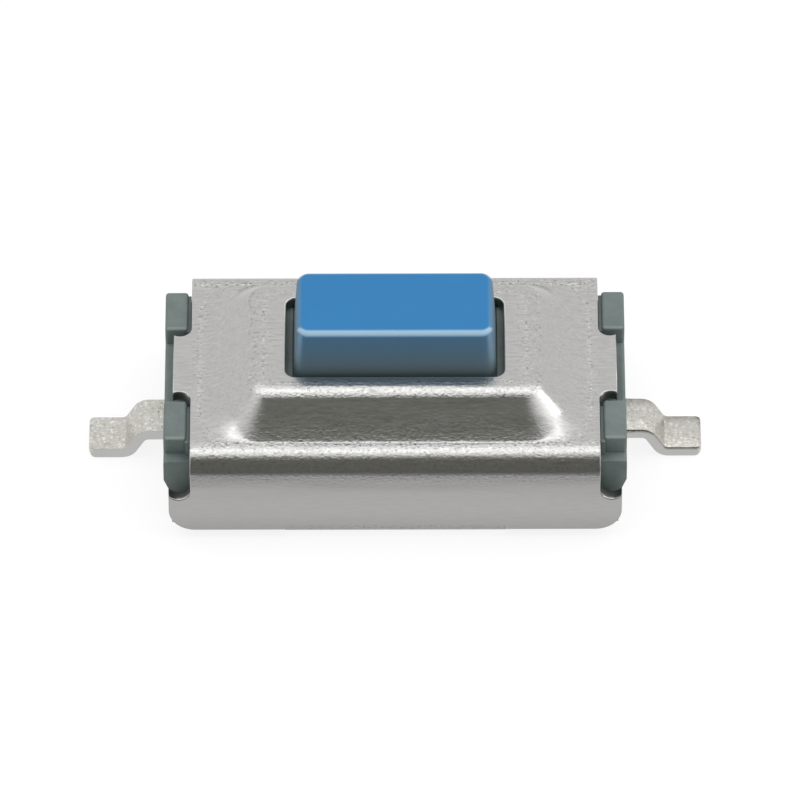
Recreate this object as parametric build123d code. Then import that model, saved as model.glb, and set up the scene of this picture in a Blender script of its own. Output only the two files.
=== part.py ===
"""Surface-mount tactile switch of the 3 x 6 mm family, 2.5 mm high over its key.

A moulded base carries two insert-moulded contact terminals. A snap dome lies on their raised
contacts in the base's pocket, the key rides above the dome in the same pocket, and a drawn and
folded sheet cover holds everything down. Pressing the key flattens the dome onto the centre
contact, and the dome throws the key back.

Frame: millimetres, +Z up. X runs through the two solder feet, and the origin lies on the circuit
board's surface, midway between the feet.
"""

import os
from math import atan, radians, sqrt, tan

from build123d import *

# ---------------------------------------------------------------------------------------------
# Driving dimensions
# ---------------------------------------------------------------------------------------------

# Whole switch
terminal_span = 8.0  # over the tips of both solder feet
base_length = 6.0  # moulded base, end face to end face
body_width = 3.6  # over the cover's two long walls
overall_height = 2.5  # board to the top of the key
key_travel = 0.25  # stroke of the key, from rest to a flat dome

# Cover: nickel-plated steel strip, drawn, pierced and folded
sheet = 0.15
shoulder_height = 1.40  # top of the flat rim round the raised panel
panel_height = 1.87  # top of the raised panel
cover_lift = 0.13  # lower edge of the long walls, above the board
bend_radius = 0.30  # outside of the two long bends
wall_setback = 0.065  # from the base's end to the long walls' ends
wall_corner_radius = 0.34  # lower corners of the long walls
ear_setback = 0.115  # from the base's end to the ear between two corner notches
ear_width = 1.05
notch_width = 0.30  # round-ended slot that leaves each corner open
notch_gap = 0.045  # from the slot's inner side to the corner post
notch_floor = 0.68  # lower end of that slot, on the long wall
panel_slope = 45.0  # degrees from the rim, all round the raised panel
panel_margin_x = 0.325  # rim left between the panel's foot and the waist
panel_margin_y = 0.035  # rim left between the panel's foot and the long bend
panel_corner_radius = 0.15  # at the top of the slope, seen from above
panel_crest_radius = 0.25  # from the slope to the panel's top
panel_root_radius = 0.04  # from the rim into the slope
window_end_gap = 0.11  # from the key to the window, along X
window_side_gap = 0.12  # and along Y
window_radius = 0.10
crimp_length = 2.88  # tongue under the base, one on each long wall
crimp_reach = 0.50  # from the wall's outer face to the tongue's tip
crimp_radius = 0.05  # inside of the tongue's fold
crimp_lift = 0.015  # underside of the tongue, above the board

# Base: glass-filled moulding
wall_gap = 0.04  # base to the inside of the cover's long walls
core_gap = 0.055  # base core to the cover's notched ends
end_wall_gap = 0.165  # end blocks to the inside of the cover's long walls
end_wall_drop = 0.17  # from the cover's ceiling to the end blocks' top
end_taper_top = 0.76  # the end faces lean in below this height
end_taper_bottom = 0.50
end_taper = 0.10
post_length = 0.30  # corner posts, along X
post_width = 0.71  # and along Y
post_inset = 0.10  # from the end block's long face to the post
post_drop = 0.047  # from the cover's rim to the top of a post
post_round = 0.045
post_chamfer = 0.03
tower_end_gap = 0.045  # guide tower to the edge of the raised panel's flat, along X
tower_side_gap = 0.09  # and along Y
panel_gap = 0.02  # guide towers and key flange to the cover's inside
contact_stand = 0.02  # contacts above the pocket's floor
pocket_radius = 0.12
pin_hole_diameter = 0.50  # left by the pins that hold the terminals in the mould

# Terminals: silver-plated brass strip
strip = 0.15
terminal_width = 0.60
terminal_rise = 0.32  # underside of the strip inside the base
foot_length = 0.51  # from the tip to the corner into the riser
riser_run = 0.19  # from that corner to the one at the riser's top
foot_bend_radius = 0.15  # of the strip's middle line
foot_tip_round = 0.09  # under the tip
foot_corner_round = 0.03  # corners of the tip seen from above
anchor_width = 0.90  # wings that lock the strip in the moulding
anchor_length = 0.30
anchor_setback = 0.45  # from the base's end face to the wing's middle
contact_raise = 0.10  # contacts pressed up out of the strip
centre_pad_diameter = 0.76
centre_contact_diameter = 0.50
fork_gap = 0.10  # between the centre pad and the fork's arms
fork_arm_width = 0.36
fork_bar_width = 0.40
fork_clearance = 0.18  # from the pocket's end wall to the fork's bar
rim_contact_length = 0.34
rim_contact_width = 0.24

# Snap dome: silver-clad spring steel
dome_sheet = 0.05
dome_side_gap = 0.03  # dome to the pocket's walls
dome_stroke_gap = 0.01  # free travel of the key before the dome

# Key: moulded button
key_length = 2.53  # at the top face
key_width = 1.17
key_draft = 4.0  # degrees on each side
key_edge_round = 0.075
key_corner_round = 0.12
key_slide_gap = 0.03  # key body to the pocket's end walls
flange_side_gap = 0.01  # flange to the edge of the raised panel's flat
flange_thickness = 0.50
flange_chamfer = 0.06
nub_diameter = 0.90

# ---------------------------------------------------------------------------------------------
# Sizes that follow from them
# ---------------------------------------------------------------------------------------------

wall_inside = body_width / 2 - sheet
cover_ceiling = shoulder_height - sheet  # inside of the flat rim
wall_length = base_length - 2 * wall_setback
ear_length = base_length - 2 * ear_setback
waist_length = base_length - 2 * (post_length + notch_gap)  # cover between its notches

panel_ceiling = panel_height - sheet  # inside of the raised panel
panel_run = (panel_height - shoulder_height) / tan(radians(panel_slope))
panel_foot_x = waist_length / 2 - panel_margin_x
panel_foot_y = body_width / 2 - bend_radius - panel_margin_y
crest_run = panel_run + panel_crest_radius * tan(radians(panel_slope) / 2)
panel_flat_x = panel_foot_x - crest_run
panel_flat_y = panel_foot_y - crest_run

key_flare = tan(radians(key_draft))  # growth of each half size for each millimetre down
window_flare = 2 * key_flare * (overall_height - panel_height)
window_length = key_length + window_flare + 2 * window_end_gap
window_width = key_width + window_flare + 2 * window_side_gap
flange_top = panel_ceiling - panel_gap
flange_bottom = flange_top - flange_thickness
flange_width = 2 * (panel_flat_y - flange_side_gap)
key_drop = overall_height - flange_top  # tapered part of the key
key_body_length = key_length + 2 * key_flare * key_drop

strip_top = terminal_rise + strip
contact_top = strip_top + contact_raise
pocket_floor = contact_top - contact_stand
pocket_length = key_body_length + 2 * key_slide_gap
pocket_width = flange_width + 2 * (panel_gap + dome_side_gap)

dome_diameter = pocket_length - 2 * dome_side_gap
dome_width = pocket_width - 2 * dome_side_gap
dome_height = key_travel - dome_stroke_gap + dome_sheet
dome_top = contact_top + dome_height

core_length = waist_length - 2 * core_gap
core_width = 2 * (wall_inside - wall_gap)
end_block_width = 2 * (wall_inside - end_wall_gap)
end_wall_height = cover_ceiling - end_wall_drop
post_height = shoulder_height - post_drop
tower_top = panel_ceiling - panel_gap
tower_width = 2 * (panel_flat_y - tower_side_gap)


def block(length, width, low, high, x=0.0, y=0.0):
    """An upright block centred on x, y that reaches from one height to another."""
    box = Box(length, width, high - low, align=(Align.CENTER, Align.CENTER, Align.MIN))
    return Pos(x, y, low) * box


def four_corners(x, y):
    """The same place in all four quarters of the switch."""
    return [(sx * x, sy * y) for sx in (-1, 1) for sy in (-1, 1)]


# ---------------------------------------------------------------------------------------------
# Cover
# ---------------------------------------------------------------------------------------------


def formed_skin(inset, length, bottom):
    """One side of the formed sheet as a solid: the outside at inset 0, the inside at one sheet.

    Every radius and slope is moved by the same inset, so the sheet between the two skins has one
    thickness through bends, slopes and corners.
    """
    rim = shoulder_height - inset
    top = panel_height - inset
    slope_shift = inset * tan(radians(panel_slope) / 2)
    body = block(length, body_width - 2 * inset, bottom, rim)
    long_bends = body.edges().filter_by(Axis.X).group_by(Axis.Z)[-1]
    body = fillet(long_bends, bend_radius - inset)

    foot = RectangleRounded(
        2 * (panel_foot_x - slope_shift),
        2 * (panel_foot_y - slope_shift),
        panel_corner_radius + panel_run - slope_shift,
    )
    panel = extrude(Pos(0, 0, rim) * foot, amount=top - rim, taper=90 - panel_slope)
    crest = panel.edges().group_by(Axis.Z)[-1]
    panel = fillet(crest, panel_crest_radius - inset)

    skin = body + panel
    reach_x = panel_foot_x - slope_shift + 1e-3
    reach_y = panel_foot_y - slope_shift + 1e-3
    root = [
        edge
        for edge in skin.edges()
        if abs(edge.center().Z - rim) < 1e-4
        and abs(edge.center().X) < reach_x
        and abs(edge.center().Y) < reach_y
        and edge.bounding_box().size.Z < 1e-4
    ]
    return fillet(root, panel_root_radius + inset)


def corner_notch(x_side, y_side):
    """Cutter for one corner slot: round-ended on the top plate and again on the long wall."""
    radius = notch_width / 2
    middle_x = waist_length / 2 + radius
    above = panel_height
    wall_outside = body_width / 2 + sheet
    plate_end = ear_width / 2 + radius
    across_plate = Pos(middle_x, (plate_end + wall_outside) / 2) * Rectangle(
        notch_width, wall_outside - plate_end
    )
    across_plate += Pos(middle_x, plate_end) * Circle(radius)
    on_plate = extrude(Pos(0, 0, shoulder_height - bend_radius) * across_plate, amount=above)

    wall_end = notch_floor + radius
    down_wall = Pos(middle_x, (wall_end + above) / 2) * Rectangle(notch_width, above - wall_end)
    down_wall += Pos(middle_x, wall_end) * Circle(radius)
    through_wall = Plane.XZ.offset(-wall_outside) * down_wall
    on_wall = extrude(through_wall, amount=bend_radius + sheet)

    cutter = on_plate + on_wall
    if x_side < 0:
        cutter = cutter.mirror(Plane.YZ)
    if y_side < 0:
        cutter = cutter.mirror(Plane.XZ)
    return cutter


def crimp_tongue():
    """The tongue of the +Y long wall, folded in under the base."""
    fold = crimp_radius + sheet
    outside = body_width / 2
    tip = outside - crimp_reach
    root = crimp_lift + 2 * fold
    outer = FilletPolyline((outside, root), (outside, crimp_lift), (tip, crimp_lift), radius=fold)
    inner = FilletPolyline(
        (outside - sheet, root),
        (outside - sheet, crimp_lift + sheet),
        (tip, crimp_lift + sheet),
        radius=crimp_radius,
    )
    ends = Line(outer @ 0, inner @ 0) + Line(outer @ 1, inner @ 1)
    section = make_face(Plane.YZ * (outer + inner + ends))
    return extrude(section, amount=crimp_length / 2, both=True)


def make_cover():
    outside = formed_skin(0, wall_length, cover_lift)
    inside = formed_skin(sheet, wall_length + 2 * sheet, cover_lift - sheet)
    cover = outside - inside

    lower_corners = cover.edges().filter_by(Axis.Y).group_by(Axis.Z)[0]
    cover = fillet(lower_corners, wall_corner_radius)

    ear_trim = block(
        wall_length - ear_length, 2 * ear_width, shoulder_height - bend_radius, panel_height
    )
    for side in (-1, 1):
        cover -= Pos(side * wall_length / 2, 0, 0) * ear_trim
    for x_side, y_side in four_corners(1, 1):
        cover -= corner_notch(x_side, y_side)

    window = Pos(0, 0, panel_ceiling - sheet) * RectangleRounded(
        window_length, window_width, window_radius
    )
    cover -= extrude(window, amount=3 * sheet)
    for side in (-1, 1):
        square_edge = block(
            crimp_length, 3 * sheet, 0, crimp_lift + crimp_radius + sheet, y=side * body_width / 2
        )
        cover -= square_edge
    tongue = crimp_tongue()
    return cover + tongue + tongue.mirror(Plane.XZ)


# ---------------------------------------------------------------------------------------------
# Terminals
# ---------------------------------------------------------------------------------------------


def lead(inner_end):
    """Strip on the +X side: solder foot, riser and straight run to inner_end inside the base."""
    tip = terminal_span / 2
    low, high = strip / 2, terminal_rise + strip / 2
    half = strip / 2
    foot_bend_x = tip - foot_length
    shoulder_bend_x = foot_bend_x - riser_run
    shift = half * tan(atan(terminal_rise / riser_run) / 2)
    upper = FilletPolyline(
        (tip, low + half),
        (foot_bend_x - shift, low + half),
        (shoulder_bend_x - shift, high + half),
        (inner_end, high + half),
        radius=[foot_bend_radius - half, foot_bend_radius + half],
    )
    lower = FilletPolyline(
        (tip, low - half),
        (foot_bend_x + shift, low - half),
        (shoulder_bend_x + shift, high - half),
        (inner_end, high - half),
        radius=[foot_bend_radius + half, foot_bend_radius - half],
    )
    ends = Line(upper @ 0, lower @ 0) + Line(upper @ 1, lower @ 1)
    section = make_face(Plane.XZ * (upper + lower + ends))
    blank = extrude(section, amount=terminal_width / 2, both=True)
    tip_face = blank.faces().sort_by(Axis.X)[-1]
    blank = fillet(tip_face.edges().filter_by(Axis.Y).sort_by(Axis.Z)[0], foot_tip_round)
    reach = tip - inner_end
    plan = Pos(tip - reach, 0) * RectangleRounded(2 * reach, terminal_width, foot_corner_round)
    blank &= extrude(plan, amount=strip_top)
    wings = block(
        anchor_length, anchor_width, terminal_rise, strip_top, x=base_length / 2 - anchor_setback
    )
    return blank + wings


def raised_contact(outline):
    """A contact pressed half through the strip: proud above it, with the same hollow below."""
    stud = extrude(Pos(0, 0, strip_top) * outline, amount=contact_raise)
    hollow = extrude(Pos(0, 0, terminal_rise) * outline, amount=contact_raise)
    return stud, hollow


def make_centre_terminal():
    """Runs in from the -X end to the contact under the middle of the dome."""
    terminal = lead(0.0).mirror(Plane.YZ)
    pad = extrude(Pos(0, 0, terminal_rise) * Circle(centre_pad_diameter / 2), amount=strip)
    stud, hollow = raised_contact(Circle(centre_contact_diameter / 2))
    return terminal + pad + stud - hollow


def make_fork_terminal():
    """Comes in from the +X end and forks round the centre pad to four contacts under the rim."""
    bar_outer = pocket_length / 2 + fork_clearance + fork_bar_width
    bar_middle = bar_outer - fork_bar_width / 2
    arm_y = centre_pad_diameter / 2 + fork_gap + fork_arm_width / 2
    arm_end = -pocket_length / 2
    terminal = lead(bar_middle)
    terminal += block(
        fork_bar_width, 2 * arm_y + fork_arm_width, terminal_rise, strip_top, x=bar_middle
    )
    rim_radius = dome_diameter / 2
    contact_x = sqrt(rim_radius**2 - arm_y**2) - rim_contact_length / 4
    for side in (-1, 1):
        terminal += block(
            bar_outer - arm_end,
            fork_arm_width,
            terminal_rise,
            strip_top,
            x=(bar_outer + arm_end) / 2,
            y=side * arm_y,
        )
    for x, y in four_corners(contact_x, arm_y):
        outline = Pos(x, y) * RectangleRounded(
            rim_contact_length, rim_contact_width, rim_contact_width / 4
        )
        stud, hollow = raised_contact(outline)
        terminal = terminal + stud - hollow
    return terminal


# ---------------------------------------------------------------------------------------------
# Base
# ---------------------------------------------------------------------------------------------


def end_block():
    """Full-length slab between the cover's open ends, with end faces that lean in at the foot."""
    half = base_length / 2
    foot = half - end_taper
    outline = Polyline(
        (-foot, 0),
        (foot, 0),
        (foot, end_taper_bottom),
        (half, end_taper_top),
        (half, end_wall_height),
        (-half, end_wall_height),
        (-half, end_taper_top),
        (-foot, end_taper_bottom),
        close=True,
    )
    slab = extrude(make_face(Plane.XZ * outline), amount=end_block_width / 2, both=True)
    top_ends = slab.edges().filter_by(Axis.Y).group_by(Axis.Z)[-1]
    return fillet(top_ends, post_round)


def corner_post(x, y):
    """A post that stands up through one of the cover's corner notches."""
    post = block(post_length, post_width, end_wall_height - post_round, post_height, x, y)
    post = fillet(post.edges().filter_by(Axis.Z), post_round)
    return chamfer(post.edges().group_by(Axis.Z)[-1], post_chamfer)


def make_base(terminals):
    core = block(core_length, core_width, cover_lift, cover_ceiling)
    relief = bend_radius - sheet - wall_gap + 0.01
    long_tops = core.edges().filter_by(Axis.X).group_by(Axis.Z)[-1]
    base = end_block() + chamfer(long_tops, relief)

    tower_length = panel_flat_x - tower_end_gap - pocket_length / 2
    tower_x = pocket_length / 2 + tower_length / 2
    for side in (-1, 1):
        tower = block(
            tower_length, tower_width, cover_ceiling - post_round, tower_top, x=side * tower_x
        )
        outer = tower.edges().filter_by(Axis.Y).group_by(Axis.Z)[-1].sort_by(Axis.X)
        base += chamfer(outer[-1] if side > 0 else outer[0], flange_chamfer)

    post_x = base_length / 2 - post_length / 2
    post_y = end_block_width / 2 - post_inset - post_width / 2
    for x, y in four_corners(post_x, post_y):
        base += corner_post(x, y)

    pocket = Pos(0, 0, pocket_floor) * RectangleRounded(pocket_length, pocket_width, pocket_radius)
    base -= extrude(pocket, amount=tower_top)

    for side in (-1, 1):
        base -= block(
            crimp_length + 2 * wall_gap,
            2 * (crimp_reach + wall_gap),
            0,
            crimp_lift + sheet,
            y=side * body_width / 2,
        )

    pin_reach = terminal_rise + contact_raise
    for x in (-base_length / 2 + anchor_setback, 0.0, base_length / 2 - anchor_setback):
        base -= Pos(x, 0, 0) * Cylinder(
            pin_hole_diameter / 2, pin_reach, align=(Align.CENTER, Align.CENTER, Align.MIN)
        )

    for terminal in terminals:
        base -= terminal
    return base


# ---------------------------------------------------------------------------------------------
# Snap dome and key
# ---------------------------------------------------------------------------------------------


def make_snap_dome():
    """A spherical cap of thin strip, cut to two straight sides so that it fits the pocket."""
    rim = dome_diameter / 2
    sphere = (rim**2 + dome_height**2) / (2 * dome_height)
    centre = dome_top - sphere
    cap = Pos(0, 0, centre) * (Sphere(sphere) - Sphere(sphere - dome_sheet))
    return cap & block(dome_diameter, dome_width, contact_top, dome_top + dome_sheet)


def make_key():
    root = Pos(0, 0, flange_top) * RectangleRounded(
        key_body_length, key_width + 2 * key_flare * key_drop, key_corner_round
    )
    button = extrude(root, amount=key_drop, taper=key_draft)
    button = fillet(button.edges().group_by(Axis.Z)[-1], key_edge_round)

    flange = block(key_body_length, flange_width, flange_bottom, flange_top)
    flange = chamfer(flange.edges().filter_by(Axis.X).group_by(Axis.Z)[-1], flange_chamfer)
    flange = fillet(flange.edges().filter_by(Axis.Z), pocket_radius)

    nub_length = flange_bottom - dome_top - dome_stroke_gap
    nub = Pos(0, 0, flange_bottom - nub_length) * Cylinder(
        nub_diameter / 2, nub_length, align=(Align.CENTER, Align.CENTER, Align.MIN)
    )
    nub = chamfer(nub.edges().group_by(Axis.Z)[0], flange_chamfer)
    return button + flange + nub


centre_terminal = make_centre_terminal()
fork_terminal = make_fork_terminal()
pieces = {
    "base": make_base([centre_terminal, fork_terminal]),
    "centre_terminal": centre_terminal,
    "fork_terminal": fork_terminal,
    "snap_dome": make_snap_dome(),
    "button": make_key(),
    "cover": make_cover(),
}

os.makedirs("parts", exist_ok=True)
for name, solid in pieces.items():
    export_step(solid, f"parts/{name}.step")
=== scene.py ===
"""Surface-mount tactile switch: the finished look of each piece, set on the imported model's frame."""

from math import acos, atan, cos, degrees, exp, pi, radians, sin, sqrt, tan

import bmesh
import bpy
import numpy as np
from mathutils import Matrix, Vector
from mathutils.geometry import delaunay_2d_cdt


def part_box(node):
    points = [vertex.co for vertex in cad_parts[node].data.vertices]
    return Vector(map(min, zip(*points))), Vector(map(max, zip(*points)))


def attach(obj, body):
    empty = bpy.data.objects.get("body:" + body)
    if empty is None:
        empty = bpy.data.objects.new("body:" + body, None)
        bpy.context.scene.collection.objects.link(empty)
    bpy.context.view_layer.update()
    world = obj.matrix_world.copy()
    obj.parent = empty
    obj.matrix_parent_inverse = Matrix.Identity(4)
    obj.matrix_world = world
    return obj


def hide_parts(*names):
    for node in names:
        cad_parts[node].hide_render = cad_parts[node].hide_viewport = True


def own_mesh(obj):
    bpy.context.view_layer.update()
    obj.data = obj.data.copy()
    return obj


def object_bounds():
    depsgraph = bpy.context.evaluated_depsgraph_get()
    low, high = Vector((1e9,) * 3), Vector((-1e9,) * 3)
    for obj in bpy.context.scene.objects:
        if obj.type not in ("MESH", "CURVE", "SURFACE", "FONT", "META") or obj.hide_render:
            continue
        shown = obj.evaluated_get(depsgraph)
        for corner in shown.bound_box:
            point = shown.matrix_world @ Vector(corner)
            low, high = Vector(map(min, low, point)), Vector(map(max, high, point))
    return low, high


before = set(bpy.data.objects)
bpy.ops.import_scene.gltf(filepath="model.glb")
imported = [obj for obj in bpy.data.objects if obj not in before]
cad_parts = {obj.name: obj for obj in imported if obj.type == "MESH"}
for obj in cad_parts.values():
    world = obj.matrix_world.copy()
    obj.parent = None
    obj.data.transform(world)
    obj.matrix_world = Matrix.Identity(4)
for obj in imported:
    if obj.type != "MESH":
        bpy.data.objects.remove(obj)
cad_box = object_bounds()
scene = bpy.context.scene
mm = 0.001

# ---------------------------------------------------------------------------------------------
# Studio: a pale sheet of card under a lit ceiling panel, with a mid-grey wall behind the switch, a
# dark room in front of it and a small softbox on the right. The camera is a long lens, well back.
# ---------------------------------------------------------------------------------------------


def paint(code):
    """Linear RGBA of an sRGB hex colour."""
    levels = [int(code[i : i + 2], 16) / 255 for i in (1, 3, 5)]
    linear = [v / 12.92 if v <= 0.04045 else ((v + 0.055) / 1.055) ** 2.4 for v in levels]
    return (*linear, 1.0)


def add(tree, kind, inputs=None, stops=(), **settings):
    """Adds a node. Its inputs are values, sockets or other nodes, whose first output in use is taken;
    stops are a ramp's positions and colours."""
    node = tree.nodes.new(kind if "Node" in kind else "ShaderNode" + kind)
    for name, value in settings.items():
        setattr(node, name, value)
    for _ in stops[2:]:
        node.color_ramp.elements.new(0.5)
    for i, (position, colour) in enumerate(stops):
        grey = isinstance(colour, float)
        point = node.color_ramp.elements[i]
        point.position = position
        point.color = (colour, colour, colour, 1.0) if grey else colour
    for socket, value in (inputs or {}).items():
        if isinstance(value, bpy.types.Node):
            value = next(output for output in value.outputs if output.enabled)
        if isinstance(value, bpy.types.NodeSocket):
            tree.links.new(value, node.inputs[socket])
        else:
            node.inputs[socket].default_value = value
    return node


def placed(name, content):
    """A new object in the scene for a mesh, a lamp or a camera."""
    thing = bpy.data.objects.new(name, content)
    scene.collection.objects.link(thing)
    return thing


view_elevation = radians(43.75)
view_distance = 150 * mm
view_width = 10.44 * mm
look_at = Vector((0.065, 0, 0.737)) * mm
lens_roll = radians(-0.14)
camera_data = bpy.data.cameras.new("long_lens")
camera_data.sensor_width = 36
camera_data.lens = camera_data.sensor_width * view_distance / view_width
camera_data.clip_start = 10 * mm
camera_data.clip_end = 10
camera = placed("camera", camera_data)
toward_camera = Vector((0, -cos(view_elevation), sin(view_elevation)))
turn = toward_camera.to_track_quat("Z", "Y").to_matrix().to_4x4()
stand = Matrix.Translation(look_at + view_distance * toward_camera)
camera.matrix_world = stand @ turn @ Matrix.Rotation(lens_roll, 4, "Z")
scene.camera = camera
scene.view_settings.view_transform = "Standard"

# The room as the metal shows it, by the angle up from the front horizon and over to the back: dark in
# front, a lit ceiling panel overhead, and a mid-grey wall behind.
room = bpy.data.worlds.new("room")
room.use_nodes = True
tree = room.node_tree
tree.nodes.clear()
exposure = 1.17
front_wall, side_wall, back_wall = 0.125, 0.5, 0.65
wall_levels = [(53.5, front_wall), (56.5, 0.2), (60.5, 0.44), (67, back_wall)]
panel_levels = [(62, 0.0), (76, 0.38), (86, 0.68), (96, 0.77), (106, 0.5), (117, 0.18), (130, 0.0)]
direction = add(tree, "SeparateXYZ", {0: add(tree, "TexCoord").outputs["Generated"]})
ahead = add(tree, "Math", {0: direction.outputs["Y"], 1: -1.0}, operation="MULTIPLY")
angle = add(tree, "Math", {0: direction.outputs["Z"], 1: ahead}, operation="ARCTAN2")
half_turn = add(tree, "Math", {0: angle, 1: pi}, operation="DIVIDE")
walls, panel = (
    add(
        tree,
        "ValToRGB",
        {0: half_turn},
        stops=[(degrees_up / 180, brightness) for degrees_up, brightness in levels],
    )
    for levels in (wall_levels, panel_levels)
)
overhead = add(
    tree,
    "MapRange",
    {"Value": direction.outputs["Z"], "From Min": 0.2, "From Max": 0.65},
    interpolation_type="SMOOTHSTEP",
)
short_left = add(
    tree, "MapRange", {"Value": direction.outputs["X"], "From Min": -0.8, "From Max": -0.5}
)
panel_area = add(tree, "Math", {0: overhead, 1: short_left}, operation="MULTIPLY")
sideways = add(tree, "Math", {0: direction.outputs["X"]}, operation="ABSOLUTE")
side_walls = add(
    tree,
    "MapRange",
    {"Value": sideways, "From Min": 0.25, "From Max": 0.6, "To Max": side_wall},
    interpolation_type="SMOOTHSTEP",
)
all_walls = add(tree, "Math", {0: walls, 1: side_walls}, operation="MAXIMUM")
level = add(tree, "Math", {0: panel, 1: panel_area, 2: all_walls}, operation="MULTIPLY_ADD")
lit = add(tree, "MapRange", {0: level, "From Min": front_wall, "From Max": 0.5})
tone = add(
    tree,
    "Mix",
    {"Factor": lit, "A": (1.0, 1.03, 0.9, 1.0), "B": (1.0, 1.0, 1.0, 1.0)},
    data_type="RGBA",
)
lit_panel = add(tree, "VectorMath", {0: tone, "Scale": level}, operation="SCALE")
seen = add(tree, "LightPath")
room_light = add(tree, "Background", {"Color": lit_panel, "Strength": exposure})
backdrop = add(tree, "Background", {"Color": paint("#ffffff"), "Strength": 1.0})
shown = add(tree, "MixShader", {0: seen.outputs["Is Camera Ray"], 1: room_light, 2: backdrop})
add(tree, "OutputWorld", {0: shown})
scene.world = room


def softbox(name, place, width, height, brightness):
    """A rectangular lamp that faces the switch, as bright to look at as a surface of that level."""
    lamp = bpy.data.lights.new(name, "AREA")
    lamp.shape = "RECTANGLE"
    lamp.size, lamp.size_y = width, height
    lamp.energy = brightness * exposure * pi * width * height
    stand = placed(name, lamp)
    stand.matrix_world = Matrix.Translation(place) @ place.to_track_quat("Z", "Y").to_matrix().to_4x4()
    return stand


# A small warm softbox stands on the right, half way up.
side_light = softbox("side_light", Vector((109.2, 14.4, 47.4)) * mm, 52 * mm, 34 * mm, 1.6)
side_light.data.color = (1.0, 0.99, 0.95)

# A weak fill from the front lifts the shaded fronts of the mouldings. The metal doesn't mirror it.
front_fill = softbox("front_fill", Vector((0, -120, 60)) * mm, 100 * mm, 100 * mm, 1.0)
front_fill.visible_glossy = False

# As the metal sees it, the card glows with a painted pool of light near the switch that falls off into
# the dark room in front of it.
# Its face lies just under the feet, so that the two never share one plane.
card_half = 200 * mm
card_top = -0.003 * mm
card_mesh = bpy.data.meshes.new("card")
card_plan = ((-1, -1), (1, -1), (1, 1), (-1, 1))
card_corners = [(x * card_half, y * card_half, card_top) for x, y in card_plan]
card_mesh.from_pydata(card_corners, [], [(0, 1, 2, 3)])
placed("card", card_mesh)


def new_material(name):
    """An empty node material and its tree."""
    material = bpy.data.materials.new(name)
    material.use_nodes = True
    material.node_tree.nodes.clear()
    return material, material.node_tree


card_paper, tree = new_material("matt_card")
place = add(tree, "SeparateXYZ", {0: add(tree, "TexCoord").outputs["Object"]})
front_edge = cad_box[0][1]
strip_start, strip_reach = front_edge + 0.15 * mm, 3.0 * mm
ahead = add(tree, "Math", {0: strip_start, 1: place.outputs["Y"]}, operation="SUBTRACT")
share = add(tree, "Math", {0: ahead, 1: strip_reach}, operation="DIVIDE")
card_glow_levels = [(0, back_wall), (0.04, 0.42), (0.12, 0.49), (0.2, 0.56), (0.33, 0.56)]
card_glow_levels += [(0.38, 0.5), (0.45, 0.3), (0.62, 0.2), (0.92, front_wall)]
painted_glow_falloff = add(tree, "ValToRGB", {0: share}, stops=card_glow_levels)
seen = add(tree, "LightPath")
matt = add(tree, "BsdfDiffuse", {"Color": paint("#c8c8c8")})
glow = add(tree, "Emission", {"Color": paint("#ffffff"), "Strength": 0.84})
shaded = add(tree, "BsdfDiffuse", {"Color": paint("#7c7c7c")})
seen_card = add(tree, "AddShader", {0: shaded, 1: glow})
# Painted glow: what glossy rays see on the card, bright near the switch and dark in front of it.
painted_card_glow = add(tree, "Emission", {"Color": painted_glow_falloff, "Strength": exposure})
for_camera = add(tree, "MixShader", {0: seen.outputs["Is Camera Ray"], 1: matt, 2: seen_card})
glossy = add(
    tree,
    "Math",
    {0: seen.outputs["Is Glossy Ray"], 1: seen.outputs["Is Transmission Ray"]},
    operation="MAXIMUM",
)
for_metal = add(tree, "MixShader", {0: glossy, 1: for_camera, 2: painted_card_glow})
add(tree, "OutputMaterial", {0: for_metal})
card_mesh.materials.append(card_paper)

# ---------------------------------------------------------------------------------------------
# Cover: one blank of thin nickel-plated steel strip, pierced flat, then drawn up into the raised
# panel and folded down into two long walls. A tongue on each wall is crimped under the base.
# ---------------------------------------------------------------------------------------------

cover_low, cover_high = (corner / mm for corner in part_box("cover"))
sheet = 0.15
half_width = cover_high.y
wall_end = cover_high.x
panel_top = cover_high.z
crimp_low = cover_low.z
shoulder = 1.40
bend = 0.30
crimp_fold = 0.20
crimp_half = 1.44
crimp_tip = half_width - 0.50
wall_foot = 0.13
plate_half = half_width - bend
slope_foot = Vector((2.33, 1.49))
slope_lean = tan(radians(43.2))
slope_corner, crest_corner = 0.60, 0.22
crest = 0.25
root, corner_root = 0.07, 0.50
window_half = Vector((1.419, 0.749))
window_corner = 0.14
notch_side = 2.655
notch_round = 0.15
ear_end = 2.885
ear_half = 0.525
notch_foot = 0.68
wall_corner = 0.34
rolled_edge = 0.014
burnish = 0.007
burr_edge = 0.006
slit = 0.002

# How far the sheet is worked, from 0 on a flat to about 2 beside a tight radius, and over what
# distance that fades.
foot_worked, root_worked, slope_worked, crest_worked, cut_worked = 0.8, 1.6, 0.1, 1.2, 0.3
edge_worked, bend_start_worked, bend_worked, fold_worked = 1.1, 1.65, 0.75, 0.6
grain_fade, root_fade, bend_fade, crest_fade, bend_turn = 0.10, 0.05, 0.16, 0.07, 0.12

rise = panel_top - shoulder
crest_tangent = crest * tan(pi / 8)
bend_end = plate_half + bend * pi / 2
wall_top = shoulder - bend
fold_start = bend_end + wall_top - (crimp_low + crimp_fold)
fold_end = fold_start + crimp_fold * pi / 2
blank_foot = bend_end + wall_top - wall_foot
blank_tip = fold_end + (half_width - crimp_fold - crimp_tip)


def arc(x, y, radius, start, end, pieces):
    """Points along an arc, angles in degrees."""
    angles = [radians(start + (end - start) * i / pieces) for i in range(pieces + 1)]
    return [(x + radius * cos(a), y + radius * sin(a)) for a in angles]


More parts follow.
